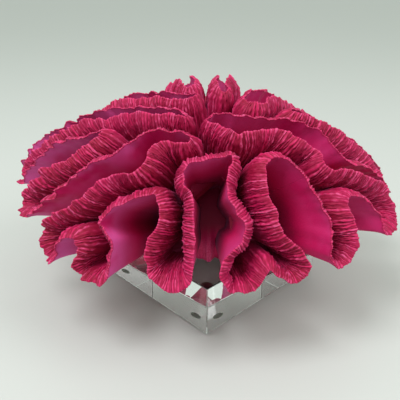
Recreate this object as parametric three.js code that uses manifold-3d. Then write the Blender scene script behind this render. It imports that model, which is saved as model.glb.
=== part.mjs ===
// A ruffled stony coral, a dome of thin pleated walls, resting on a clear square block with bumper feet.
// Millimetres, +Z up. The coral is one growth, split at its main forks into a trunk and eleven lobes.

import * as THREE from "three";
import Module from "manifold-3d";
import { mergeVertices } from "three/addons/utils/BufferGeometryUtils.js";

const wasm = await Module();
wasm.setup();

// Clear block and its feet
const BLOCK_SIDE = 127;
const BLOCK_HEIGHT = 38;
const BLOCK_CHAMFER = 0.8;
const BLOCK_TURN = THREE.MathUtils.degToRad(45);
const FOOT_RADIUS = 4.8;
const FOOT_HEIGHT = 2;
const FOOT_INSET = 21;
const FOOT_SIDES = 16;
const FOOT_SOLE_SHARE = 0.62;
const FOOT_BULGE = { radius: 0.86, height: 0.3 };
const FIT_GAP = 0.3;
const MERGE_DISTANCE = 0.001;

// The dome that the coral's rim reaches, about a heart that every wall leans towards
const HALF_WIDTH = 152;
const HALF_DEPTH = 128;
const RISE = 106;
const HEART_HEIGHT = 46;
const HEART_BACK = 5;

// Walls: thick at the edge of the valley, with a raised crest and coarse ridges on the valley side
const WALL = 4.4;
const CREST = 1.2;
const RIDGE = 0.7;
const RIM_STEP = 7;
const FLOOR_SHARE = 0.7;
const ROOT_SHARE = 0.45;

// The dome's slow ripple, and its swellings: a high crown, a full left shoulder and a flatter right one
const RIPPLE = 0.014;
const RIPPLE_TURNS = [9, 8, 17, 11];
const SWELLINGS = [
  { lean: new THREE.Vector2(0, 14), spread: 17, share: 0.08 },
  { lean: new THREE.Vector2(-68, 4), spread: 16, share: 0.07 },
  { lean: new THREE.Vector2(48, 8), spread: 18, share: -0.065 },
];

// The solid heart of the colony, which closes the bottom of each recess, and its flat foot
const CORE_SHARE = 0.52;
const CORE_SIDES = 30;
const CORE_RINGS = 5;
const FOOTPRINT_SHARE = 0.36;

// The rim, as leans [right, back] from straight up in degrees. It runs counter-clockwise seen from above,
// with the ribbed valley on its left and the smooth outer recess on its right. Each stretch belongs to one
// piece and starts where the piece is cut from its neighbour.
const RIM = [
  { piece: "trunk", path: [
    [-20.7, -31], [-15, -32.2], [-11, -32], [-7.5, -32.7], [-5, -36], [-8, -38.3], [-12, -37.6],
    [-16, -38.2], [-19, -41], [-22.4, -45.8],
  ] },
  { piece: "lobe_front_left", path: [
    [-27, -47], [-33, -45.3], [-40, -46], [-46, -47.5], [-52, -47], [-59, -44.5],
    [-65, -43.5], [-67.5, -47], [-66, -53.5], [-62.5, -56.5], [-58, -54.6], [-52.5, -54.7], [-48.8, -57],
    [-49, -60.5], [-52, -63], [-53, -66.5], [-50, -69.5], [-46, -72.5], [-41, -73.5], [-37.5, -70],
    [-36, -65], [-38, -61], [-39, -57.5], [-36, -55.3], [-32, -54.9],
  ] },
  { piece: "trunk", path: [[-28, -54.8], [-22, -54], [-18, -55]] },
  { piece: "lobe_front", path: [
    [-16, -60], [-16.8, -63], [-19.5, -67.5], [-22.5, -73], [-23.6, -76.5], [-21, -79], [-16, -81.8],
    [-10, -82.3], [-6.5, -80.5], [-5.4, -76], [-6, -69],
  ] },
  { piece: "trunk", path: [
    [-5.3, -61], [-6, -57], [-9, -53], [-9.5, -49], [-7.3, -46.5], [-3, -46], [3.8, -44], [8.5, -43.2],
    [9.5, -45.5], [8.5, -48.5],
  ] },
  { piece: "lobe_front_right", path: [
    [7.5, -53], [7.3, -57], [10.8, -61], [14.5, -65], [13.5, -69], [9.5, -72], [7.5, -76], [7, -81],
    [9, -83.8], [14, -83.3], [19, -81.5], [21.5, -77], [24.5, -75], [28, -76], [34, -76.8], [37.5, -74.5],
    [39, -70.5], [35, -68], [29.5, -66], [25.5, -63], [22.2, -58],
  ] },
  { piece: "trunk", path: [[20, -54], [19.3, -47], [20.5, -43.3], [23, -41], [25.8, -39.6], [28.7, -41]] },
  { piece: "lobe_right", path: [
    [33.7, -44.7], [39, -48.2], [43, -53], [45, -57.5], [46.8, -60.5], [47.8, -63.5], [50.5, -64.8],
    [54, -62], [56.6, -56.6], [56, -52.5], [53.4, -49.8], [50.7, -45.5], [50.5, -42.5], [52.7, -39.7],
    [56.4, -38], [60, -37.3], [64.5, -38], [68.5, -41], [73, -36], [75.5, -29.5], [73.5, -23.5],
    [69.5, -21.7], [63, -25], [57, -29], [49.5, -33.3], [45, -35.3], [41.5, -34.6], [39, -31.7],
    [35.5, -31],
  ] },
  { piece: "trunk", path: [
    [32, -30.3], [29, -29.2], [25, -29], [21.7, -30], [16.2, -33], [10.8, -35.2], [8, -34.5], [5, -31.6],
    [1.5, -29], [-1.4, -26], [2.3, -22], [6.2, -23], [9.5, -24.4], [13.6, -24.3], [19.7, -22.5],
    [27.9, -19.5], [33, -17.8],
  ] },
  { piece: "lobe_right_middle", path: [
    [38, -18.4], [42, -20.5], [45.2, -23.5], [48.5, -26], [52.5, -25.6], [58, -22.3], [64, -18.3],
    [70, -15.4], [74.5, -13.5], [75, -9], [71, -6], [65, -4.5], [60, -5], [54, -7], [46, -9],
  ] },
  { piece: "trunk", path: [[41, -10], [35, -11.3], [31.5, -9.8], [32.5, -6]] },
  { piece: "lobe_right_back", path: [
    [37, -4], [43, -1.5], [50, -0.5], [57, 3], [65, 1.5], [73, 5], [76.5, 11], [73, 17], [67, 17.5],
    [60, 15], [54, 15], [51.5, 18], [56.5, 20.5], [60, 25.5], [67.5, 29.5], [69, 36.5], [64, 41], [58, 37.5],
    [53.5, 32], [45, 27], [40.5, 18],
  ] },
  { piece: "trunk", path: [[31, 7], [25.5, -2], [21.5, -10], [17, -13], [14, -10.5], [13.5, -5]] },
  { piece: "lobe_back_right", path: [
    [16.5, 2], [22.5, 9.5], [25, 18.5], [34.5, 25], [38, 34], [47.5, 40.5], [52, 48.5], [57, 53], [53, 60],
    [46.5, 58.5], [41, 51], [33, 47], [29.5, 38.5], [24.5, 35], [21, 38.5], [25.5, 46.5], [26.5, 55],
    [33.5, 63], [35.5, 70], [30.5, 74.5], [25, 71], [23.5, 63], [18, 55], [17.5, 45], [12, 35], [12, 24],
    [8.5, 12],
  ] },
  { piece: "trunk", path: [[8, 3], [8, -4], [5.5, -6.5], [3, -4]] },
  { piece: "lobe_back", path: [
    [2, 3], [4, 12], [3, 23], [7.5, 33], [8, 45], [14, 54], [13.5, 65], [16, 73], [10.5, 80], [4.5, 77],
    [3.5, 68], [0.5, 59], [1.5, 49], [-2, 45], [-5, 49], [-3.5, 59], [-7, 69], [-8.5, 78], [-14, 81],
    [-19.5, 76], [-18, 66], [-18, 55], [-12.5, 46], [-12, 35], [-7, 25], [-6.5, 14],
  ] },
  { piece: "trunk", path: [[-4.8, 5], [-4.8, 0], [-7, -2.5], [-10, -0.5]] },
  { piece: "lobe_back_left", path: [
    [-11.5, 4], [-12.5, 13], [-17.5, 23], [-19, 34], [-26, 43.5], [-27.5, 54], [-33.5, 62], [-36, 69.5],
    [-42, 70.5], [-47, 64.5], [-42.5, 57], [-40.5, 48], [-33.5, 42], [-31.5, 33.5], [-33.5, 29],
    [-39, 31], [-41, 37], [-49.5, 42], [-52.5, 49.5], [-59, 54], [-65.5, 50.5], [-65.5, 43.5], [-63.5, 37],
    [-54.5, 32], [-48.5, 24.5], [-39, 20], [-32, 10.5], [-23, 4.5],
  ] },
  { piece: "trunk", path: [[-16.5, -2], [-11, -6.5], [-6, -9], [-3.5, -11.5], [-7, -14], [-13.5, -11]] },
  { piece: "lobe_left_back", path: [
    [-20, -6], [-27, -1], [-35, 4.5], [-44, 10.5], [-53, 16], [-61, 20.5], [-68, 25],
    [-74, 23.5], [-75.5, 18.5], [-71.5, 15], [-74, 11], [-76.5, 6.5], [-73, 3], [-67, 3], [-61, 2.5],
    [-53, 0.5], [-45, -2], [-37, -5], [-29, -8.5],
  ] },
  { piece: "trunk", path: [[-23, -12.5], [-17, -16.3], [-12, -19.5], [-8, -23], [-7.2, -26], [-10, -25.8],
    [-14.5, -23.2]] },
  { piece: "lobe_left", path: [
    [-20, -21.3], [-26, -18.3], [-33, -15.5], [-41, -12.5], [-49, -9.5], [-57, -7], [-65, -4.5], [-72, -2.5],
    [-76, -5], [-75.5, -8.5], [-69, -10.5], [-62, -12.5], [-55, -14.5], [-50, -17], [-44, -19.4],
    [-39.5, -20.3], [-38.2, -22], [-39.5, -24], [-42, -25], [-48, -26.5], [-55, -26], [-62, -24.5],
    [-68.5, -22.2],
    [-73, -20], [-75.5, -22], [-75, -27], [-72, -32], [-67.5, -34.5], [-61.5, -35.5], [-56, -36.5],
    [-50, -36.4], [-42, -35.4], [-35.5, -36.7], [-31.5, -36], [-28, -33.3], [-24.5, -31.5],
  ] },
];

const heart = new THREE.Vector3(0, HEART_BACK, FOOT_HEIGHT + HEART_HEIGHT);

// Unit vector for a lean [right, back] in degrees
function leanToRay(lean) {
  const tilt = THREE.MathUtils.degToRad(lean.length());
  const side = lean.clone().normalize().multiplyScalar(Math.sin(tilt));
  return new THREE.Vector3(side.x, side.y, Math.cos(tilt));
}

function rayToLean(ray) {
  const tilt = THREE.MathUtils.radToDeg(Math.acos(ray.z));
  return new THREE.Vector2(ray.x, ray.y).setLength(tilt);
}

// Distance from the heart to the dome along a ray, rippled so that no two lobes reach alike
function reach(ray) {
  const dome = 1 / Math.hypot(ray.x / HALF_WIDTH, ray.y / HALF_DEPTH, ray.z / RISE);
  const [wideX, wideY, fineX, fineY] = RIPPLE_TURNS;
  const wide = Math.sin(wideX * ray.x + 2) * Math.cos(wideY * ray.y + 1);
  const fine = Math.sin(fineX * ray.x - fineY * ray.y);
  let share = 1 + RIPPLE * (wide + fine / 2);
  const here = rayToLean(ray);
  for (const swelling of SWELLINGS) {
    const away = here.distanceTo(swelling.lean) / swelling.spread;
    share += swelling.share * Math.exp(-away * away);
  }
  return dome * share;
}

function onDome(ray, share) {
  return ray.clone().multiplyScalar(share * reach(ray)).add(heart);
}

// Points of each stretch of the rim, evenly spaced between its hand-set leans
function sampleRim() {
  const leans = RIM.flatMap((stretch) => stretch.path.map(([x, y]) => new THREE.Vector3(x, y, 0)));
  const curve = new THREE.CatmullRomCurve3(leans, true, "centripetal");
  const leanAt = (index) => {
    const point = curve.getPoint((index % leans.length) / leans.length);
    return new THREE.Vector2(point.x, point.y);
  };
  const place = (index) => onDome(leanToRay(leanAt(index)), 1);
  let first = 0;
  return RIM.map(({ piece, path }) => {
    const rays = [];
    for (let k = first; k < first + path.length; k += 1) {
      const steps = Math.max(1, Math.round(place(k).distanceTo(place(k + 1)) / RIM_STEP));
      for (let s = 0; s < steps; s += 1) rays.push(leanToRay(leanAt(k + s / steps)));
    }
    first += path.length;
    rays.push(leanToRay(leanAt(first)));
    return { piece, rays: pullEnds(rays) };
  });
}

// Draws a stretch's two ends in by half the gap between neighbouring pieces
function pullEnds(rays) {
  const pull = (end, next) => {
    const span = onDome(end, 1).distanceTo(onDome(next, 1));
    return end.clone().lerp(next, FIT_GAP / span).normalize();
  };
  const last = rays.length - 1;
  const head = pull(rays[0], rays[1]);
  const tail = pull(rays[last], rays[last - 1]);
  return [head, ...rays.slice(1, last), tail];
}

// Closed geometry of a piece bounded by stretches of rim, with a flat cut from each stretch to the next
function ruffle(arcs) {
  const positions = [];
  const faces = [];
  const rows = { root: [], rim: [], crest: [], lip: [], floor: [] };
  const outline = [];
  const inline = [];
  const add = (point) => positions.push(point.x, point.y, point.z) / 3 - 1;
  const quad = (a, b, c, d) => faces.push(a, b, c, a, c, d);

  const starts = [];
  arcs.forEach((rays, arcIndex) => {
    starts.push(rows.rim.length);
    const before = arcs[(arcIndex + arcs.length - 1) % arcs.length].at(-1);
    const after = arcs[(arcIndex + 1) % arcs.length][0];
    rays.forEach((ray, i) => {
      const point = onDome(ray, 1);
      const isEnd = i === 0 || i === rays.length - 1;
      let inward;
      if (isEnd) {
        inward = onDome(i === 0 ? before : after, 1).sub(point).normalize();
      } else {
        const along = onDome(rays[i + 1], 1).sub(onDome(rays[i - 1], 1));
        inward = ray.clone().cross(along).normalize();
      }
      const thickness = WALL + (isEnd ? 0 : RIDGE * (i % 2 === 0 ? 1 : -1));
      const lipRay = point.clone().addScaledVector(inward, thickness).sub(heart).normalize();
      const crestRay = ray.clone().add(lipRay).normalize();
      const crestShare = 1 + CREST / reach(crestRay);
      rows.root.push(add(onDome(ray, ROOT_SHARE)));
      rows.rim.push(add(point));
      rows.crest.push(add(onDome(crestRay, crestShare)));
      rows.lip.push(add(onDome(lipRay, 1)));
      rows.floor.push(add(onDome(lipRay, FLOOR_SHARE)));
      outline.push(rayToLean(ray));
      inline.push(rayToLean(lipRay));
    });
  });

  const { root, rim, crest, lip, floor } = rows;
  const count = rim.length;
  for (let i = 0; i < count; i += 1) {
    const j = (i + 1) % count;
    if (starts.includes(j)) {
      quad(root[i], root[j], floor[j], floor[i]);
      faces.push(root[i], floor[i], lip[i], root[i], lip[i], crest[i], root[i], crest[i], rim[i]);
      faces.push(root[j], rim[j], crest[j], root[j], crest[j], lip[j], root[j], lip[j], floor[j]);
    } else {
      quad(root[i], root[j], rim[j], rim[i]);
      quad(rim[i], rim[j], crest[j], crest[i]);
      quad(crest[i], crest[j], lip[j], lip[i]);
      quad(lip[i], lip[j], floor[j], floor[i]);
    }
  }
  for (const [a, b, c] of THREE.ShapeUtils.triangulateShape(inline, [])) {
    faces.push(floor[a], floor[b], floor[c]);
  }
  for (const [a, b, c] of THREE.ShapeUtils.triangulateShape(outline, [])) {
    faces.push(root[c], root[b], root[a]);
  }

  const geometry = new THREE.BufferGeometry();
  geometry.setAttribute("position", new THREE.Float32BufferAttribute(positions, 3));
  geometry.setIndex(faces);
  return geometry;
}

// The heart of the colony: a smaller dome on a flat foot, grown by a clearance where lobes are fitted to it
function core(clearance) {
  const radius = CORE_SHARE * HALF_WIDTH + clearance;
  const height = CORE_SHARE * RISE + clearance;
  const bottom = FOOT_HEIGHT + BLOCK_HEIGHT + 2 * FIT_GAP - heart.z;
  const profile = [new THREE.Vector2(0, bottom), new THREE.Vector2(FOOTPRINT_SHARE * HALF_WIDTH, bottom)];
  for (let k = 0; k <= CORE_RINGS; k += 1) {
    const angle = (k / CORE_RINGS) * (Math.PI / 2);
    const isTop = k === CORE_RINGS;
    profile.push(new THREE.Vector2(isTop ? 0 : radius * Math.cos(angle), height * Math.sin(angle)));
  }
  const geometry = new THREE.LatheGeometry(profile, CORE_SIDES);
  geometry.rotateX(Math.PI / 2);
  geometry.scale(1, HALF_DEPTH / HALF_WIDTH, 1);
  geometry.translate(heart.x, heart.y, heart.z);
  return geometry;
}

function toSolid(geometry) {
  const bare = geometry.clone();
  bare.deleteAttribute("normal");
  bare.deleteAttribute("uv");
  const merged = mergeVertices(bare, MERGE_DISTANCE);
  const index = merged.index.array;
  const triangles = [];
  for (let t = 0; t < index.length; t += 3) {
    const [a, b, c] = index.slice(t, t + 3);
    if (a !== b && b !== c && c !== a) triangles.push(a, b, c);
  }
  const vertProperties = new Float32Array(merged.attributes.position.array);
  const triVerts = new Uint32Array(triangles);
  return new wasm.Manifold(new wasm.Mesh({ numProp: 3, vertProperties, triVerts }));
}

function toGeometry(solid) {
  const { vertProperties, triVerts } = solid.getMesh();
  const geometry = new THREE.BufferGeometry();
  geometry.setAttribute("position", new THREE.Float32BufferAttribute(vertProperties, 3));
  geometry.setIndex(Array.from(triVerts));
  geometry.computeVertexNormals();
  return geometry;
}

function coralMaterial() {
  return new THREE.MeshStandardMaterial({ color: 0xb4164a, roughness: 0.8, metalness: 0 });
}

function acrylicMaterial() {
  return new THREE.MeshStandardMaterial({
    color: 0xe6efec,
    roughness: 0.05,
    metalness: 0,
    transparent: true,
    opacity: 0.35,
  });
}

function bumperMaterial() {
  return new THREE.MeshStandardMaterial({
    color: 0xd9e0dc,
    roughness: 0.3,
    metalness: 0,
    transparent: true,
    opacity: 0.6,
  });
}

function named(name, geometry, material) {
  const mesh = new THREE.Mesh(geometry, material);
  mesh.name = name;
  return mesh;
}

function coral() {
  const group = new THREE.Group();
  const arcs = new Map();
  for (const { piece, rays } of sampleRim()) {
    if (!arcs.has(piece)) arcs.set(piece, []);
    arcs.get(piece).push(rays);
  }
  const heartSolid = toSolid(core(0));
  const clearance = toSolid(core(FIT_GAP));
  for (const [piece, list] of arcs) {
    const ruffled = toSolid(ruffle(list));
    const solid = piece === "trunk" ? ruffled.add(heartSolid) : ruffled.subtract(clearance);
    group.add(named(piece, toGeometry(solid), coralMaterial()));
  }
  return group;
}

// Clear block with small chamfers along its edges
function block() {
  const half = BLOCK_SIDE / 2 - BLOCK_CHAMFER;
  const square = new THREE.Shape([
    new THREE.Vector2(-half, -half),
    new THREE.Vector2(half, -half),
    new THREE.Vector2(half, half),
    new THREE.Vector2(-half, half),
  ]);
  const geometry = new THREE.ExtrudeGeometry(square, {
    depth: BLOCK_HEIGHT - 2 * BLOCK_CHAMFER,
    bevelEnabled: true,
    bevelSize: BLOCK_CHAMFER,
    bevelThickness: BLOCK_CHAMFER,
    bevelSegments: 1,
  });
  const mesh = named("acrylic_block", geometry, acrylicMaterial());
  mesh.position.z = FOOT_HEIGHT + FIT_GAP + BLOCK_CHAMFER;
  return mesh;
}

// Soft bumper: a low dome, flat where it meets the table
function foot(name, x, y) {
  const profile = [
    new THREE.Vector2(0, 0),
    new THREE.Vector2(FOOT_RADIUS * FOOT_SOLE_SHARE, 0),
    new THREE.Vector2(FOOT_RADIUS * FOOT_BULGE.radius, FOOT_HEIGHT * FOOT_BULGE.height),
    new THREE.Vector2(FOOT_RADIUS, FOOT_HEIGHT),
    new THREE.Vector2(0, FOOT_HEIGHT),
  ];
  const geometry = new THREE.LatheGeometry(profile, FOOT_SIDES);
  geometry.rotateX(Math.PI / 2);
  const mesh = named(name, geometry, bumperMaterial());
  mesh.position.set(x, y, 0);
  return mesh;
}

function stand() {
  const group = new THREE.Group();
  group.rotation.z = BLOCK_TURN;
  group.add(block());
  const reachOut = BLOCK_SIDE / 2 - FOOT_INSET;
  const corners = { front: [-1, -1], right: [1, -1], back: [1, 1], left: [-1, 1] };
  for (const [name, [x, y]] of Object.entries(corners)) {
    group.add(foot(`foot_${name}`, x * reachOut, y * reachOut));
  }
  return group;
}

const object = new THREE.Group();
object.add(coral(), stand());
const box = new THREE.Box3().setFromObject(object);
object.position.x = -(box.min.x + box.max.x) / 2;
object.position.y = -(box.min.y + box.max.y) / 2;

export default object;
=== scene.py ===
import math

import bmesh
import bpy
import numpy as np
from mathutils import Matrix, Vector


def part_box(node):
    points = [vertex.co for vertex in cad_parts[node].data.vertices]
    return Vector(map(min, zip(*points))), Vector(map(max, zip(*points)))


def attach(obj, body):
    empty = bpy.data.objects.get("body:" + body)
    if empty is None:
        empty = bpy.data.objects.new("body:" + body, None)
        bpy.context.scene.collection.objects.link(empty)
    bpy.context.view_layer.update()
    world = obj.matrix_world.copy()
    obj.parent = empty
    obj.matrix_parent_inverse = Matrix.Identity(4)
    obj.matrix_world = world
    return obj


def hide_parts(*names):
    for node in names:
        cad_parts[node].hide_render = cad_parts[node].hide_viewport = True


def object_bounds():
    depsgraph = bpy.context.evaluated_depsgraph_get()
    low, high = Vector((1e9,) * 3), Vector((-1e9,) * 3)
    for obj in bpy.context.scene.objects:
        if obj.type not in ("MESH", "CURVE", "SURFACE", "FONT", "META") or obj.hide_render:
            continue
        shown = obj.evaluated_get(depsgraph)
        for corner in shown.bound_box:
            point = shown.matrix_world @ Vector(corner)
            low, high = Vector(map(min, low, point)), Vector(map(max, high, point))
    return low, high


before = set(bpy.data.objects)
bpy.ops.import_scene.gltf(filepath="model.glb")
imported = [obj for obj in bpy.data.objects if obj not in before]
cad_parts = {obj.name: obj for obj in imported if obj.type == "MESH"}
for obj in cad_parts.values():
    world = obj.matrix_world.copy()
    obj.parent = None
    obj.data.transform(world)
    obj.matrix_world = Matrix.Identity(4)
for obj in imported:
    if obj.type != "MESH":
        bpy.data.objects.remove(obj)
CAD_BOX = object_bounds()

# A ruffled stony coral, dyed magenta, on a clear block with bumper feet. The coral's rim is one long line
# that meanders on a dome. Every wall hangs from it towards the heart of the colony: the valley side carries
# fine ribs, the outer side is smooth. Lengths are in millimetres, made metres by MM.
MM = 0.001
SEED = 11

# The dome that the rim reaches, with swellings: each a lean (right, back) in degrees from straight up, a
# spread in degrees and a share of the dome's size
HALF_WIDTH = 152
HALF_DEPTH = 128
RISE = 106
HEART = np.array([0.0, 5.0, 48.0])
RIPPLE = 0.014
RIPPLE_TURNS = (9, 8, 17, 11)
SWELLINGS = (
    ((0, 14), 17, 0.08),
    ((-68, 4), 16, 0.07),
    ((48, 8), 18, -0.065),
)

# The solid heart of the colony, as shares of the dome, with a frill round its skirt
FLOOR_SHARE = 0.7
ROOT_SHARE = 0.504
CORE_SHARE = 0.52
CORE_FOOT = ((0.5, -3, 0.8), (0.45, -5.5, 0.5), (0.36, -7.4, 0))
CORE_SIDES = 480
CORE_TILTS = (4, 90, 24)
FRILL_TILTS = (66, 86)
FRILL_FOLD = 3.4
FRILL_RIB = 1.2
FRILL_LIGHT = 0.55
FRILL_TINTS = (0.5, 0.3)

# Turns of the frill's folds and ribs round the heart, each with a drift and the drift's own turns
WIDE_FOLDS = (34, 1.7, 5)
FINE_FOLDS = (61, 2, 3)
FINE_FOLD_SHARE = 0.5
FRILL_RIBS = (120, 1, 7)

# Walls: a sharp edge on the smooth side, then a shoulder that thickens into the valley
EDGE = 0.7
SHOULDER = 7
SHOULDER_SHARE = 0.94
SHOULDER_DEPTH = 6
SLOPE_DEPTHS = (8, 32)
VALLEY_FILL = 0.47
VALLEY_LIMIT = 42
VALLEY_CONE = 0.6
FACING = -0.2
NEAREST_FACING = 1
BEND_FILL = 0.8
ROUTE_STEP = 1.5
ROOM_SPREAD = 3
ROOM_BLUR = 5
FLARE = 1.8
FLARE_DEPTH = 11

# Waves along the rim, each a wavelength and a height: pleats push the wall in and out, nicks lift the edge,
# and sways bend the ribs
WAVE_SWELL = 0.6
WAVE_DRIFT = 0.8
WAVES_TO_A_SWELL = 5
PLEATS = ((9.5, 0.22), (13, 0.25), (24, 0.5), (41, 0.9))
PLEAT_DEPTH = 26
PLEAT_FALL = 1.5
NICKS = ((5, 0.22), (11, 0.32), (17, 0.4))
NICK_DEPTH = 9
RAGGED_LEANS = (-65, -35)
RAGGED_SHARE = 3
SWAYS = ((26, 0.8), (61, 1.2))
SWAY_DEPTH = 18

# Ribs on the valley side: the shape of one as places and heights, then the spread of their sizes
RIB_PITCH = 1.6
RIB_HEIGHT = 1.1
RIB_SHAPE = ((0.0, 0.0), (0.28, 0.68), (0.5, 1.0), (0.74, 0.6))
RIB_WIDTHS = (0.4, 1.6)
RIB_SIZES = (0.4, 1.2)
RIB_LENGTHS = (5, 60)
RIB_FADE = 5
RIB_FADED = 0.2
RIB_WOBBLE = 0.3
WOBBLE_PACE = 0.7
WIDTH_LIMITS = (0.6, 1.25)
SWELL_DEPTHS = (0, 1, 3, 18, 45)
SWELL_SHARES = (0.3, 0.55, 1, 1, 0.35)
EDGE_RIBS = 1.8
OUTER_RIB_SHARE = 0.25
# Painted highlight: a pale line along the rim's edge
EDGE_HIGHLIGHT = 0.4
TOOTH = 0.7
TEETH = (-0.4, 0.7)
RIDGE_TEETH = 0.5
TOOTH_DEPTH = 2.5

# Beads along each rib: a mean height, then two waves down the wall, as radians to the millimetre and heights
BEAD_MEAN = 0.85
BEADS = ((1.1, 0.22), (2.7, 0.18))

# Roughness between and on the ribs
CRUMPLE = 0.34
PIT_SHARE = 0.25
PIT_DEPTH = 1.1
PIT_ROWS = (0.8, 13)

# The smooth side is painted with a paler, purplish sheen by the edges, most on the left: leans to the right
# and shares
SHEEN_LEANS = (-60, 30)
SHEEN_SHARES = (1, 0.25)

# Depths of the rows of points below the rim, and the depth that is painted as deepest, where the painted
# shade is darkest
DEEPEST = 42
ABOVE_ROOT = 0.95
OUTER_DEPTHS = (50, 36, 26, 18, 12, 7.5, 4.2, 2.2, 1.1, 0.4)
INNER_DEPTHS = (0.4, 1, 1.8, 2.8, 4, 5.5, 7.2, 9.2, 11.5, 14, 17, 21, 26)

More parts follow.
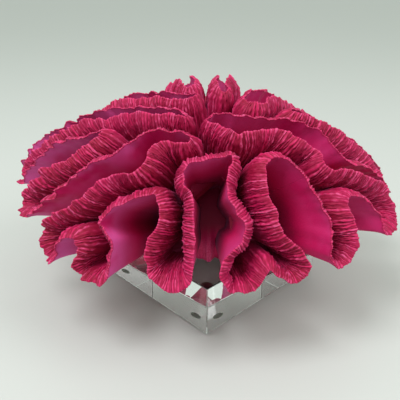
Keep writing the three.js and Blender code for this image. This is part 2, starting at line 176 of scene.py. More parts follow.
# The rim as leans (right, back) in degrees, counter-clockwise from above, with the valley on its left
RIM = [
    ("trunk", [
        (-20.7, -31), (-15, -32.2), (-11, -32), (-7.5, -32.7), (-5, -36), (-8, -38.3), (-12, -37.6),
        (-16, -38.2), (-19, -41), (-22.4, -45.8),
    ]),
    ("lobe_front_left", [
        (-27, -47), (-33, -45.3), (-40, -46), (-46, -47.5), (-52, -47), (-59, -44.5), (-65, -43.5),
        (-67.5, -47), (-66, -53.5), (-62.5, -56.5), (-58, -54.6), (-52.5, -54.7), (-48.8, -57),
        (-49, -60.5), (-52, -63), (-53, -66.5), (-50, -69.5), (-46, -72.5), (-41, -73.5), (-37.5, -70),
        (-36, -65), (-38, -61), (-39, -57.5), (-36, -55.3), (-32, -54.9),
    ]),
    ("trunk", [
        (-28, -54.8), (-22, -54), (-18, -55),
    ]),
    ("lobe_front", [
        (-16, -60), (-16.8, -63), (-19.5, -67.5), (-22.5, -73), (-23.6, -76.5), (-21, -79),
        (-16, -81.8), (-10, -82.3), (-6.5, -80.5), (-5.4, -76), (-6, -69),
    ]),
    ("trunk", [
        (-5.3, -61), (-6, -57), (-9, -53), (-9.5, -49), (-7.3, -46.5), (-3, -46), (3.8, -44),
        (8.5, -43.2), (9.5, -45.5), (8.5, -48.5),
    ]),
    ("lobe_front_right", [
        (7.5, -53), (7.3, -57), (10.8, -61), (14.5, -65), (13.5, -69), (9.5, -72), (7.5, -76), (7, -81),
        (9, -83.8), (14, -83.3), (19, -81.5), (21.5, -77), (24.5, -75), (28, -76), (34, -76.8),
        (37.5, -74.5), (39, -70.5), (35, -68), (29.5, -66), (25.5, -63), (22.2, -58),
    ]),
    ("trunk", [
        (20, -54), (19.3, -47), (20.5, -43.3), (23, -41), (25.8, -39.6), (28.7, -41),
    ]),
    ("lobe_right", [
        (33.7, -44.7), (39, -48.2), (43, -53), (45, -57.5), (46.8, -60.5), (47.8, -63.5), (50.5, -64.8),
        (54, -62), (56.6, -56.6), (56, -52.5), (53.4, -49.8), (50.7, -45.5), (50.5, -42.5),
        (52.7, -39.7), (56.4, -38), (60, -37.3), (64.5, -38), (68.5, -41), (73, -36), (75.5, -29.5),
        (73.5, -23.5), (69.5, -21.7), (63, -25), (57, -29), (49.5, -33.3), (45, -35.3), (41.5, -34.6),
        (39, -31.7), (35.5, -31),
    ]),
    ("trunk", [
        (32, -30.3), (29, -29.2), (25, -29), (21.7, -30), (16.2, -33), (10.8, -35.2), (8, -34.5),
        (5, -31.6), (1.5, -29), (-1.4, -26), (2.3, -22), (6.2, -23), (9.5, -24.4), (13.6, -24.3),
        (19.7, -22.5), (27.9, -19.5), (33, -17.8),
    ]),
    ("lobe_right_middle", [
        (38, -18.4), (42, -20.5), (45.2, -23.5), (48.5, -26), (52.5, -25.6), (58, -22.3), (64, -18.3),
        (70, -15.4), (74.5, -13.5), (75, -9), (71, -6), (65, -4.5), (60, -5), (54, -7), (46, -9),
    ]),
    ("trunk", [
        (41, -10), (35, -11.3), (31.5, -9.8), (32.5, -6),
    ]),
    ("lobe_right_back", [
        (37, -4), (43, -1.5), (50, -0.5), (57, 3), (65, 1.5), (73, 5), (76.5, 11), (73, 17), (67, 17.5),
        (60, 15), (54, 15), (51.5, 18), (56.5, 20.5), (60, 25.5), (67.5, 29.5), (69, 36.5), (64, 41),
        (58, 37.5), (53.5, 32), (45, 27), (40.5, 18),
    ]),
    ("trunk", [
        (31, 7), (25.5, -2), (21.5, -10), (17, -13), (14, -10.5), (13.5, -5),
    ]),
    ("lobe_back_right", [
        (16.5, 2), (22.5, 9.5), (25, 18.5), (34.5, 25), (38, 34), (47.5, 40.5), (52, 48.5), (57, 53),
        (53, 60), (46.5, 58.5), (41, 51), (33, 47), (29.5, 38.5), (24.5, 35), (21, 38.5), (25.5, 46.5),
        (26.5, 55), (33.5, 63), (35.5, 70), (30.5, 74.5), (25, 71), (23.5, 63), (18, 55), (17.5, 45),
        (12, 35), (12, 24), (8.5, 12),
    ]),
    ("trunk", [
        (8, 3), (8, -4), (5.5, -6.5), (3, -4),
    ]),
    ("lobe_back", [
        (2, 3), (4, 12), (3, 23), (7.5, 33), (8, 45), (14, 54), (13.5, 65), (16, 73), (10.5, 80),
        (4.5, 77), (3.5, 68), (0.5, 59), (1.5, 49), (-2, 45), (-5, 49), (-3.5, 59), (-7, 69),
        (-8.5, 78), (-14, 81), (-19.5, 76), (-18, 66), (-18, 55), (-12.5, 46), (-12, 35), (-7, 25),
        (-6.5, 14),
    ]),
    ("trunk", [
        (-4.8, 5), (-4.8, 0), (-7, -2.5), (-10, -0.5),
    ]),
    ("lobe_back_left", [
        (-11.5, 4), (-12.5, 13), (-17.5, 23), (-19, 34), (-26, 43.5), (-27.5, 54), (-33.5, 62),
        (-36, 69.5), (-42, 70.5), (-47, 64.5), (-42.5, 57), (-40.5, 48), (-33.5, 42), (-31.5, 33.5),
        (-33.5, 29), (-39, 31), (-41, 37), (-49.5, 42), (-52.5, 49.5), (-59, 54), (-65.5, 50.5),
        (-65.5, 43.5), (-63.5, 37), (-54.5, 32), (-48.5, 24.5), (-39, 20), (-32, 10.5), (-23, 4.5),
    ]),
    ("trunk", [
        (-16.5, -2), (-11, -6.5), (-6, -9), (-3.5, -11.5), (-7, -14), (-13.5, -11),
    ]),
    ("lobe_left_back", [
        (-20, -6), (-27, -1), (-35, 4.5), (-44, 10.5), (-53, 16), (-61, 20.5), (-68, 25), (-74, 23.5),
        (-75.5, 18.5), (-71.5, 15), (-74, 11), (-76.5, 6.5), (-73, 3), (-67, 3), (-61, 2.5), (-53, 0.5),
        (-45, -2), (-37, -5), (-29, -8.5),
    ]),
    ("trunk", [
        (-23, -12.5), (-17, -16.3), (-12, -19.5), (-8, -23), (-7.2, -26), (-10, -25.8), (-14.5, -23.2),
    ]),
    ("lobe_left", [
        (-20, -21.3), (-26, -18.3), (-33, -15.5), (-41, -12.5), (-49, -9.5), (-57, -7), (-65, -4.5),
        (-72, -2.5), (-76, -5), (-75.5, -8.5), (-69, -10.5), (-62, -12.5), (-55, -14.5), (-50, -17),
        (-44, -19.4), (-39.5, -20.3), (-38.2, -22), (-39.5, -24), (-42, -25), (-48, -26.5), (-55, -26),
        (-62, -24.5), (-68.5, -22.2), (-73, -20), (-75.5, -22), (-75, -27), (-72, -32), (-67.5, -34.5),
        (-61.5, -35.5), (-56, -36.5), (-50, -36.4), (-42, -35.4), (-35.5, -36.7), (-31.5, -36),
        (-28, -33.3), (-24.5, -31.5),
    ]),
]

# Points of the curve from each lean to the next
RUNS = 24

# The clear block and its bumpers, each a profile of radius and height shares, bonded into the block above
BLOCK_TURN = math.radians(45)
BLOCK_ROUND = 0.7
BUMPER_PROFILE = ((0.6, 0), (0.74, 0.04), (0.86, 0.22), (0.94, 0.5), (0.99, 0.8), (1, 1))
BUMPER_SIDES = 40
BOND = 0.4
ACRYLIC_IOR = 1.49
BUMPER_IOR = 1.45
BUMPER_ROUGH = 0.3

# Sizes of the dye's patterns: blotches and grain to the metre, streaks to the millimetre along and down
BLOTCHES = 26
GRAIN = 900
STREAKS = (2, 0.35, 1)
RELIEF = 0.4

# The room: the floor's size in metres, then each lamp's place and size in metres, power and colour
FLOOR_SIZE = 8
ROOM_LIGHT = 1.12
LAMPS = {
    "key": ((-0.5, -0.4, 1.25), 0.7, 13, (0.97, 0.97, 1)),
    "fill": ((0.9, -0.3, 0.9), 0.8, 6, (0.98, 0.98, 1)),
}

# The photograph's view, from the block's middle, worked out from the block's edges
CAMERA_PLACE = (0, -383, 242)
CAMERA_PITCH = 24.8
CAMERA_TURN = 0.93
CAMERA_VIEW = 42


def lean_to_ray(lean):
    """Unit vectors for leans (right, back) in degrees."""
    size = np.linalg.norm(lean, axis=-1, keepdims=True)
    tilt = np.radians(size)
    side = lean / np.maximum(size, 1e-9) * np.sin(tilt)
    return np.concatenate([side, np.cos(tilt)], axis=-1)


def ray_to_lean(ray):
    flat = np.linalg.norm(ray[..., :2], axis=-1, keepdims=True)
    tilt = np.degrees(np.arctan2(flat, ray[..., 2:]))
    return ray[..., :2] / np.maximum(flat, 1e-9) * tilt


def reach(ray):
    """Distance from the heart to the dome along each ray."""
    x, y, z = np.moveaxis(ray, -1, 0)
    dome = 1 / np.sqrt((x / HALF_WIDTH) ** 2 + (y / HALF_DEPTH) ** 2 + (z / RISE) ** 2)
    wide_x, wide_y, fine_x, fine_y = RIPPLE_TURNS
    ripple = np.sin(wide_x * x + 2) * np.cos(wide_y * y + 1) + np.sin(fine_x * x - fine_y * y) / 2
    share = 1 + RIPPLE * ripple
    lean = ray_to_lean(ray)
    for middle, spread, height in SWELLINGS:
        away = np.linalg.norm(lean - np.array(middle), axis=-1) / spread
        share = share + height * np.exp(-away ** 2)
    return dome * share


def closed_curve(leans):
    """A closed centripetal curve through the leans, with RUNS points from each lean to the next."""
    here = np.array(leans, float)
    before, after, beyond = (np.roll(here, shift, 0) for shift in (1, -1, -2))
    gap0 = np.sqrt(np.linalg.norm(here - before, axis=1))[:, None]
    gap1 = np.sqrt(np.linalg.norm(after - here, axis=1))[:, None]
    gap2 = np.sqrt(np.linalg.norm(beyond - after, axis=1))[:, None]
    leave = ((here - before) / gap0 - (after - before) / (gap0 + gap1) + (after - here) / gap1) * gap1
    arrive = ((after - here) / gap1 - (beyond - here) / (gap1 + gap2) + (beyond - after) / gap2) * gap1
    t = np.linspace(0, 1, RUNS, endpoint=False)[None, :, None]
    parts = (
        (2 * t ** 3 - 3 * t ** 2 + 1) * here[:, None],
        (t ** 3 - 2 * t ** 2 + t) * leave[:, None],
        (3 * t ** 2 - 2 * t ** 3) * after[:, None],
        (t ** 3 - t ** 2) * arrive[:, None],
    )
    return sum(parts).reshape(-1, 2)


def unit(vectors):
    return vectors / np.linalg.norm(vectors, axis=-1, keepdims=True)


class Rim:
    """The closed rim measured along its length in millimetres."""

    def __init__(self, stretches, rng):
        curve = closed_curve([lean for _, path in stretches for lean in path])
        ray = lean_to_ray(curve)
        place = HEART + ray * reach(ray)[:, None]
        steps = np.linalg.norm(np.roll(place, -1, 0) - place, axis=1)
        self.length = steps.sum()
        along = np.concatenate([[0], np.cumsum(steps)])
        self.along = np.concatenate([along[:-1] - self.length, along[:-1], along + self.length])
        self.curve = np.concatenate([curve, curve, curve, curve[:1]])
        self.starts = along[np.cumsum([0] + [len(path) for _, path in stretches]) * RUNS]
        self.pleats = self.wave_set(PLEATS, rng)
        self.nicks = self.wave_set(NICKS, rng)
        self.sways = self.wave_set(SWAYS, rng)
        self.measure_valleys()

    def wave_set(self, sizes, rng):
        """Whole waves round the rim, each swelling and fading along the way."""
        waves = []
        for wavelength, height in sizes:
            count = round(self.length / wavelength)
            swell = round(count / WAVES_TO_A_SWELL)
            waves.append((count, height, swell, *rng.uniform(0, 2 * math.pi, 2)))
        return waves

    def wave(self, waves, along):
        turn = 2 * math.pi * along / self.length
        total = 0
        for count, height, swell, start, swell_start in waves:
            size = height * (1 + WAVE_SWELL * np.sin(swell * turn + swell_start))
            total = total + size * np.sin(count * turn + start + WAVE_DRIFT * np.sin(swell * turn))
        return total

    def ray(self, along):
        lean = [np.interp(along, self.along, self.curve[:, axis]) for axis in (0, 1)]
        return lean_to_ray(np.stack(lean, axis=-1))

    def place(self, along):
        ray = self.ray(along)
        return HEART + ray * reach(ray)[:, None]

    def frame(self, along):
        """Ray, direction along the rim and direction into the valley."""
        ray = self.ray(along)
        forward = unit(self.place(along + ROUTE_STEP) - self.place(along - ROUTE_STEP))
        return ray, forward, unit(np.cross(ray, forward))

    def measure_valleys(self):
        """Room for the wall's shoulder: a share of the way to the facing rim, and of the rim's own bend."""
        count = round(self.length / ROUTE_STEP)
        route = np.linspace(0, self.length, count, endpoint=False)
        _, forward, inward = self.frame(route)
        place = self.place(route)
        width = np.full(count, float(VALLEY_LIMIT))
        for k in range(count):
            way = place - place[k]
            across = way @ inward[k]
            aside = np.linalg.norm(way - across[:, None] * inward[k], axis=1)
            facing = (inward @ inward[k] < FACING) & (across > NEAREST_FACING)
            facing &= aside < VALLEY_CONE * across
            if facing.any():
                width[k] = min(VALLEY_LIMIT, across[facing].min())
        turning = np.einsum("ij,ij->i", np.roll(forward, -1, 0) - np.roll(forward, 1, 0), inward)
        bend = 2 * ROUTE_STEP / np.maximum(turning, 1e-3)
        room = np.minimum(VALLEY_FILL * width, BEND_FILL * bend)
        for shift in range(1, ROOM_SPREAD + 1):
            room = np.minimum(room, np.minimum(np.roll(room, shift), np.roll(room, -shift)))
        blur = np.hanning(2 * ROOM_BLUR + 1)
        padded = np.concatenate([room[-ROOM_BLUR:], room, room[:ROOM_BLUR]])
        self.room_route = np.append(route, self.length)
        smooth = np.convolve(padded, blur / blur.sum(), "valid")
        self.room_size = np.append(smooth, smooth[0])

    def room(self, along):
        return np.interp(along, self.room_route, self.room_size)


def rib_columns(start, end, rng):
    """Places along a stretch of rim, four to a rib. Each has its share of the ridge, its rib's tooth above
    the edge, two beats that make the rib swell and fade with depth, and the rib's own length and tint."""
    count = max(2, round((end - start) / RIB_PITCH))
    widths = rng.uniform(*RIB_WIDTHS, count)
    edges = start + np.concatenate([[0], np.cumsum(widths)]) / widths.sum() * (end - start)
    shares = np.array(RIB_SHAPE)
    along = (edges[:-1, None] + np.diff(edges)[:, None] * shares[:, 0]).ravel()
    size = rng.uniform(*RIB_SIZES, count) * np.clip(widths, *WIDTH_LIMITS)
    ridge = (size[:, None] * shares[:, 1]).ravel()
    tooth = np.repeat(rng.uniform(*TEETH, count), len(shares)) * np.tile(shares[:, 1], count)
    beats = [np.repeat(rng.uniform(0, 2 * math.pi, count), len(shares)) for _ in range(2)]
    length = np.repeat(rng.uniform(*RIB_LENGTHS, count), len(shares))
    tint = np.repeat(rng.uniform(0, 1, count), len(shares))
    return (
        np.append(along, end),
        np.append(ridge, 0),
        np.append(tooth, 0),
        [np.append(beat, 0) for beat in beats],
        np.append(length, RIB_LENGTHS[1]),
        np.append(tint, 0.5),
    )


def wall_sheet(rim, start, end, rng):
    """Points and paint of one stretch of wall: columns along the rim, rows from the outer root over the edge
    to the valley floor. Paint holds ridge, ribbed, depth and tone, each from 0 to 1, where depth also sets
    the painted shade and tone is a rib's tint or the smooth side's painted sheen. Run holds the place along
    the rim and below it."""
    along, ridge, tooth, beats, length, tint = rib_columns(start, end, rng)
    ray, forward, inward = rim.frame(along)
    far = reach(ray)
    pleat = rim.wave(rim.pleats, along)
    lean_right = ray_to_lean(ray)[:, 0]
    # How much painted sheen the smooth side gets, most on the left
    painted_sheen = np.interp(lean_right, SHEEN_LEANS, SHEEN_SHARES)
    nick = rim.wave(rim.nicks, along) * np.interp(lean_right, RAGGED_LEANS, (RAGGED_SHARE, 1))
    sway = rim.wave(rim.sways, along)
    room = rim.room(along)
    shoulder = np.minimum(SHOULDER, SHOULDER_SHARE * room)
    groove = ridge == 0
    groove[[0, -1]] = False
    inside = np.ones(len(along))
    inside[[0, -1]] = 0
    rows = []
    paint = []
    run = []

    def lean_out(depth):
        """How far the whole wall stands towards the valley."""
        flare = FLARE * np.clip(1 - depth / FLARE_DEPTH, 0, 1) ** 2
        return pleat * np.clip(1 - depth / PLEAT_DEPTH, 0, 1) ** PLEAT_FALL - flare

    def thickness(depth):
        curve = 1 - np.exp(-depth / SHOULDER_DEPTH)
        start_depth, end_depth = SLOPE_DEPTHS
        slope = np.clip((depth - start_depth) / (end_depth - start_depth), 0, 1)
        slope = slope * slope * (3 - 2 * slope)
        return EDGE + np.maximum(shoulder - EDGE, 0) * curve + np.maximum(room - shoulder, 0) * slope

    def lift(depth):
        serration = TOOTH * (tooth + RIDGE_TEETH * ridge) * np.clip(1 - depth / TOOTH_DEPTH, 0, 1)
        return nick * np.exp(-depth / NICK_DEPTH) + serration

    def add_row(depth, across, ridged, ribbed, tone):
        taper = (1 - depth / far)[:, None]
        wobble = RIB_WOBBLE * ribbed * inside * np.sin(WOBBLE_PACE * depth + beats[1])
        drift = (sway * np.clip(depth / SWAY_DEPTH, 0, 1) + wobble)[:, None]
        side = inward * across[:, None] + forward * drift
        rows.append(HEART + ray * (far - depth + lift(depth))[:, None] + side * taper)
        deep = np.clip(depth / DEEPEST, 0, 1)
        paint.append(np.stack([np.clip(ridged, 0, 1), ribbed, deep, tone], axis=-1))
        run.append(np.stack([along, depth, 0 * far], axis=-1))

    def outer_row(depth):
        near_edge = np.clip(1 - depth / EDGE_RIBS, 0, 1)
        ribs = ridge * near_edge
        across = lean_out(depth) - OUTER_RIB_SHARE * RIB_HEIGHT * ribs
        add_row(depth, across, ribs, near_edge, painted_sheen)

    def inner_row(depth):
        swell = np.interp(depth, SWELL_DEPTHS, SWELL_SHARES)
        beads = BEAD_MEAN
        for (pace, size), beat in zip(BEADS, beats):
            beads = beads + size * np.sin(pace * depth + beat)
        pitted = (depth > PIT_ROWS[0]) & (depth < PIT_ROWS[1])
        dig = groove & (rng.random(len(groove)) < PIT_SHARE) & pitted
        crumple = CRUMPLE * rng.normal(0, 1, len(far)) * inside * swell
        height = ridge * beads * np.clip((length - depth) / RIB_FADE, RIB_FADED, 1)
        ribs = RIB_HEIGHT * height * swell + crumple - PIT_DEPTH * dig
        add_row(depth, lean_out(depth) + thickness(depth) + ribs, height, np.ones_like(far), tint)

    root = far * (1 - ROOT_SHARE)
    outer_row(root)
    for depth in OUTER_DEPTHS:
        outer_row(np.minimum(depth, root * ABOVE_ROOT))
    top = 0 * far
    # The edge row is painted pale along its length as a highlight
    add_row(top, lean_out(top) + EDGE / 2, EDGE_HIGHLIGHT + ridge, top + 1, tint)
    for depth in INNER_DEPTHS:
        inner_row(depth + top)
    inner_row(far * (1 - FLOOR_SHARE))
    return np.stack(rows, axis=1), np.stack(paint, axis=1), np.stack(run, axis=1)


def ruffle_faces(sheets):
    """Quads of the sheets, then the cut, floor and root faces that close them into one body."""
    quads = []
    closing = []
    firsts = []
    lasts = []
    floor = []
    root = []
    offset = 0
    for points, *_ in sheets:
        columns, rows = points.shape[:2]
        index = offset + np.arange(columns * rows).reshape(columns, rows)
        quad = np.stack([index[:-1, :-1], index[1:, :-1], index[1:, 1:], index[:-1, 1:]], axis=-1)
        quads.append(quad.reshape(-1, 4))
        firsts.append(index[0])
        lasts.append(index[-1])
        floor.extend(index[:, -1].tolist())
        root.extend(index[:, 0].tolist())
        offset += columns * rows
    for k, last in enumerate(lasts):
        first = firsts[(k + 1) % len(firsts)]
        closing.append([int(last[0]), *first.tolist(), *last[:0:-1].tolist()])
    closing.append(floor)
    closing.append(root[::-1])
    return np.concatenate(quads).tolist(), closing


def drifting(wave, turn):
    """A wave round the heart that runs ahead and falls behind."""
    count, drift, drift_count = wave
    return np.sin(count * turn + drift * np.sin(drift_count * turn))


def core_sheet():
    """The heart of the colony: rings of a smaller dome down to a flat foot, with a frill round its skirt."""
    turn = np.linspace(0, 2 * math.pi, CORE_SIDES, endpoint=False)
    folds = drifting(WIDE_FOLDS, turn) + FINE_FOLD_SHARE * drifting(FINE_FOLDS, turn)
    ribs = np.abs(drifting(FRILL_RIBS, turn))
    tint_middle, tint_spread = FRILL_TINTS
    rings = []
    for tilt in np.linspace(*CORE_TILTS):
        frill = np.interp(tilt, FRILL_TILTS, (0, 1))
        wide = CORE_SHARE * math.sin(math.radians(tilt))
        rings.append((wide, CORE_SHARE * RISE * math.cos(math.radians(tilt)), frill))
    points = []
    paint = []
    for wide, rise, frill in rings + list(CORE_FOOT):
        across = wide * HALF_WIDTH + frill * (FRILL_FOLD * folds + FRILL_RIB * ribs)
        x = across * np.cos(turn)
        y = across * np.sin(turn) * HALF_DEPTH / HALF_WIDTH
        points.append(HEART + np.stack([x, y, np.full(CORE_SIDES, rise)], axis=-1))
        # Painted shade: the heart is painted as deep, the frill lighter by FRILL_LIGHT
        shade = np.full(CORE_SIDES, 1 - FRILL_LIGHT * frill)
        tint = tint_middle + tint_spread * folds
        paint.append(np.stack([ribs, np.full(CORE_SIDES, frill), shade, tint], axis=-1))
    index = np.arange(len(points) * CORE_SIDES).reshape(-1, CORE_SIDES)
    ahead = np.roll(index, -1, axis=1)
    quads = np.stack([index[1:], ahead[1:], ahead[:-1], index[:-1]], axis=-1).reshape(-1, 4)
    closing = [index[0].tolist(), index[-1][::-1].tolist()]
    return np.concatenate(points), np.concatenate(paint), quads, closing


def finish_piece(name, mesh, material, node):
    """One piece of the scene: it rides on the only body and stands for one node."""
    piece = bpy.data.objects.new(name, mesh)
    bpy.context.collection.objects.link(piece)
    mesh.materials.append(material)
    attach(piece, "root")
    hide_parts(node)


def make_ruffle(name, sheets, material):
    """One piece of coral from its stretches of wall; the trunk also holds the heart."""
    points = np.concatenate([sheet.reshape(-1, 3) for sheet, _, _ in sheets])
    paint = np.concatenate([paint.reshape(-1, 4) for _, paint, _ in sheets])
    run = np.concatenate([run.reshape(-1, 3) for _, _, run in sheets])
    faces, closing = ruffle_faces(sheets)
    if name == "trunk":
        more, tint, quads, ends = core_sheet()
        base = len(points)
        points = np.concatenate([points, more])
        paint = np.concatenate([paint, tint])
        run = np.concatenate([run, more])
        faces += (quads + base).tolist()
        closing += [[base + corner for corner in end] for end in ends]
    mesh = bpy.data.meshes.new(f"coral_{name}")
    mesh.from_pydata(((points + SHIFT) * MM).tolist(), [], faces + closing)
    smooth = np.ones(len(mesh.polygons), bool)
    smooth[len(faces):] = False
    mesh.polygons.foreach_set("use_smooth", smooth)
    growth_and_painted_light = mesh.attributes.new("growth_and_painted_light", "FLOAT_COLOR", "POINT")
    growth_and_painted_light.data.foreach_set("color", paint.ravel())
    place = mesh.attributes.new("run", "FLOAT_VECTOR", "POINT")
    place.data.foreach_set("vector", run.ravel())
    mesh.update()
    finish_piece(f"coral_{name}", mesh, material, name)


def linear(*srgb):
    """Linear colour from 0 to 255 display values."""
    parts = [value / 255 for value in srgb]
    return (*[p / 12.92 if p <= 0.04045 else ((p + 0.055) / 1.055) ** 2.4 for p in parts], 1)


def new_material(name):
    material = bpy.data.materials.new(name)
    material.use_nodes = True
    return material, material.node_tree.nodes["Principled BSDF"]


def mix_colour(tree, factor, first, second):
    """Colour mixed from first to second by a factor socket; either colour may be a socket."""
    node = tree.nodes.new("ShaderNodeMix")
    node.data_type = "RGBA"
    tree.links.new(factor, node.inputs["Factor"])
    for socket, value in ((node.inputs[6], first), (node.inputs[7], second)):
        if isinstance(value, tuple):
            socket.default_value = value
        else:
            tree.links.new(value, socket)
    return node.outputs[2]


def ramp(tree, source, low, high):
    """Source from low to high, stretched to 0 to 1 smoothly."""
    node = tree.nodes.new("ShaderNodeMapRange")
    node.interpolation_type = "SMOOTHSTEP"
    tree.links.new(source, node.inputs["Value"])
    node.inputs["From Min"].default_value = low
    node.inputs["From Max"].default_value = high
    return node.outputs["Result"]


def noise(tree, scale, detail=3):
    place = tree.nodes.new("ShaderNodeTexCoord")
    node = tree.nodes.new("ShaderNodeTexNoise")
    tree.links.new(place.outputs["Object"], node.inputs["Vector"])
    node.inputs["Scale"].default_value = scale
    node.inputs["Detail"].default_value = detail
    return node.outputs["Fac"]


def streak(tree):
    """Noise drawn out down the wall, across the rim."""
    run = tree.nodes.new("ShaderNodeAttribute")
    run.attribute_name = "run"
    stretch = tree.nodes.new("ShaderNodeMapping")
    tree.links.new(run.outputs["Vector"], stretch.inputs["Vector"])
    stretch.inputs["Scale"].default_value = STREAKS
    node = tree.nodes.new("ShaderNodeTexNoise")
    tree.links.new(stretch.outputs["Vector"], node.inputs["Vector"])
    node.inputs["Scale"].default_value = 1
    node.inputs["Detail"].default_value = 3
    return node.outputs["Fac"]


def coral_material():
    """Crimson walls, paler by their edges with a painted sheen, pink ribs with painted highlights on their
    crests and painted shade in their grooves, and dark roots from painted shade.
    """
    material, shader = new_material("coral_dyed_with_painted_light")
    tree = material.node_tree
    growth_and_painted_light = tree.nodes.new("ShaderNodeAttribute")
    growth_and_painted_light.attribute_name = "growth_and_painted_light"
    split = tree.nodes.new("ShaderNodeSeparateColor")
    tree.links.new(growth_and_painted_light.outputs["Color"], split.inputs["Color"])
    ridge, ribbed, depth = split.outputs
    tone = growth_and_painted_light.outputs["Alpha"]
    blotch = noise(tree, BLOTCHES)
    streaks = streak(tree)
    # Painted sheen: the smooth side is paler and purplish by the edges, most on the left, in random
    # blotches, and fades into plain crimson down the wall
    blotchy_sheen = mix_colour(tree, ramp(tree, blotch, 0.34, 0.56), linear(192, 20, 96), linear(214, 86, 158))
    painted_sheen = mix_colour(tree, tone, linear(188, 6, 84), blotchy_sheen)
    smooth = mix_colour(tree, ramp(tree, depth, 0.1, 0.8), painted_sheen, linear(188, 4, 80))
    # Rib crests paler and grooves darker: partly the ribs' own colour, partly painted highlight on the
    # crests and painted shade in the grooves
    groove = mix_colour(tree, ramp(tree, blotch, 0.3, 0.7), linear(142, 2, 46), linear(162, 6, 68))
    pale = mix_colour(tree, tone, linear(208, 32, 98), linear(226, 96, 150))
    crest = mix_colour(tree, ramp(tree, streaks, 0.34, 0.7), linear(190, 12, 78), pale)
    ribs = mix_colour(tree, ramp(tree, ridge, 0.15, 0.95), groove, crest)
    surface = mix_colour(tree, ramp(tree, ribbed, 0.05, 0.9), smooth, ribs)
    # Painted shade: darker deep in the valleys, towards the roots and over the heart
    colour = mix_colour(tree, ramp(tree, depth, 0.6, 1.25), surface, linear(44, 0, 12))
    tree.links.new(colour, shader.inputs["Base Color"])
    shader.inputs["Roughness"].default_value = 0.62
    shader.inputs["Specular IOR Level"].default_value = 0.25
    shader.inputs["Sheen Weight"].default_value = 0.06
    shader.inputs["Sheen Roughness"].default_value = 0.45
    shader.inputs["Sheen Tint"].default_value = linear(226, 170, 240)
    bump = tree.nodes.new("ShaderNodeBump")
    bump.inputs["Strength"].default_value = 0.5
    bump.inputs["Distance"].default_value = RELIEF * MM
    tree.links.new(mix_grain(tree, ribbed, streaks), bump.inputs["Height"])
    tree.links.new(bump.outputs["Normal"], shader.inputs["Normal"])
    return material


def mix_grain(tree, ribbed, streaks):
    """Relief height: fine grain on the smooth side, streaks on the ribbed side."""
    node = tree.nodes.new("ShaderNodeMix")
    tree.links.new(ribbed, node.inputs["Factor"])
    tree.links.new(noise(tree, GRAIN, 2), node.inputs["A"])
    tree.links.new(streaks, node.inputs["B"])
    return node.outputs["Result"]


def clear_material(name, tint, ior, roughness):
    material, shader = new_material(name)
    shader.inputs["Base Color"].default_value = tint
    shader.inputs["Transmission Weight"].default_value = 1
    shader.inputs["IOR"].default_value = ior
    shader.inputs["Roughness"].default_value = roughness
    return material


def make_block():
    """The clear block, with polished rounded edges."""
    lowest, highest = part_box("acrylic_block")
    size = highest - lowest
    side = size.x / math.sqrt(2)
    place = Matrix.Translation((lowest + highest) / 2) @ Matrix.Rotation(BLOCK_TURN, 4, "Z")
    shape = bmesh.new()
    bmesh.ops.create_cube(shape, size=1)
    bmesh.ops.scale(shape, vec=(side, side, size.z), verts=shape.verts)
    bmesh.ops.bevel(
        shape, geom=shape.edges[:], offset=BLOCK_ROUND * MM, segments=3, profile=0.5, affect="EDGES",
    )
    bmesh.ops.transform(shape, matrix=place, verts=shape.verts)
    mesh = bpy.data.meshes.new("block_clear")
    shape.to_mesh(mesh)
    shape.free()
    material = clear_material("acrylic_clear", linear(252, 254, 253), ACRYLIC_IOR, 0)
    finish_piece("block_clear", mesh, material, "acrylic_block")


def make_bumper(node, material):
    """A soft bumper: a low dome turned about its axis, flat on the table and bonded to the block above."""
    lowest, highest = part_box(node)
    centre = (lowest + highest) / 2
    radius = (highest.x - lowest.x) / 2
    height = highest.z - lowest.z + BOND * MM
    turn = np.linspace(0, 2 * math.pi, BUMPER_SIDES, endpoint=False)
    points = []
    for wide, up in BUMPER_PROFILE:
        x = centre.x + radius * wide * np.cos(turn)
        y = centre.y + radius * wide * np.sin(turn)
        points.append(np.stack([x, y, np.full(BUMPER_SIDES, lowest.z + height * up)], axis=-1))
    index = np.arange(len(points) * BUMPER_SIDES).reshape(-1, BUMPER_SIDES)
    ahead = np.roll(index, -1, axis=1)
    sides = np.stack([index[:-1], ahead[:-1], ahead[1:], index[1:]], axis=-1).reshape(-1, 4).tolist()
    ends = [index[0][::-1].tolist(), index[-1].tolist()]
    mesh = bpy.data.meshes.new(f"bumper_{node}")
    mesh.from_pydata(np.concatenate(points).tolist(), [], sides + ends)
    mesh.polygons.foreach_set("use_smooth", [True] * len(sides) + [False] * len(ends))
    finish_piece(f"bumper_{node}", mesh, material, node)


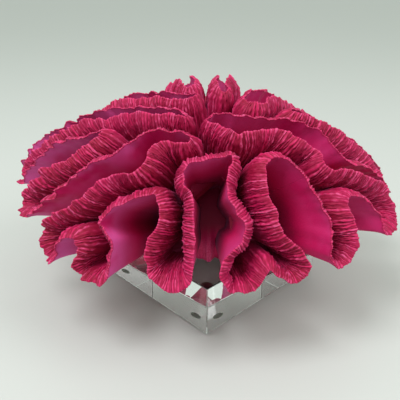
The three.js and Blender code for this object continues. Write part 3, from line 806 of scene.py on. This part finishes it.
def make_floor():
    bpy.ops.mesh.primitive_plane_add(size=FLOOR_SIZE)
    floor = bpy.context.object
    floor.name = "floor"
    material, shader = new_material("floor_pale")
    shader.inputs["Base Color"].default_value = linear(192, 194, 190)
    shader.inputs["Roughness"].default_value = 0.4
    floor.data.materials.append(material)


def add_area(name, place, aim, size, power, colour):
    light = bpy.data.lights.new(name, "AREA")
    light.shape = "DISK"
    light.size = size
    light.energy = power
    light.color = colour
    lamp = bpy.data.objects.new(name, light)
    lamp.location = place
    direction = aim - lamp.location
    lamp.rotation_euler = direction.to_track_quat("-Z", "Y").to_euler()
    bpy.context.collection.objects.link(lamp)


def make_lights():
    world = bpy.data.worlds.new("soft_room")
    world.use_nodes = True
    background = world.node_tree.nodes["Background"]
    background.inputs["Color"].default_value = linear(210, 219, 212)
    background.inputs["Strength"].default_value = ROOM_LIGHT
    bpy.context.scene.world = world
    middle = (CAD_BOX[0] + CAD_BOX[1]) / 2
    for name, (place, size, power, colour) in LAMPS.items():
        add_area(name, place, middle, size, power, colour)
    bpy.context.scene.view_settings.view_transform = "Standard"


def make_camera():
    camera = bpy.data.cameras.new("camera")
    camera.sensor_fit = "HORIZONTAL"
    camera.angle = math.radians(CAMERA_VIEW)
    seat = bpy.data.objects.new("camera", camera)
    seat.location = ((np.array(CAMERA_PLACE) + SHIFT) * MM).tolist()
    seat.rotation_euler = (math.radians(90 - CAMERA_PITCH), 0, math.radians(CAMERA_TURN))
    bpy.context.collection.objects.link(seat)
    bpy.context.scene.camera = seat


# The block's middle in plan, which the rim and the camera are measured from
block_low, block_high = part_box("acrylic_block")
SHIFT = np.array([block_low.x + block_high.x, block_low.y + block_high.y, 0]) / 2 / MM

make_camera()
make_lights()
make_floor()

rng = np.random.default_rng(SEED)
rim = Rim(RIM, rng)
walls = {}
for k, (name, _) in enumerate(RIM):
    walls.setdefault(name, []).append(wall_sheet(rim, rim.starts[k], rim.starts[k + 1], rng))
coral = coral_material()
for name, sheets in walls.items():
    make_ruffle(name, sheets, coral)

make_block()
rubber = clear_material("bumper_clear", linear(120, 130, 104), BUMPER_IOR, BUMPER_ROUGH)
for corner in ("front", "right", "back", "left"):
    make_bumper(f"foot_{corner}", rubber)
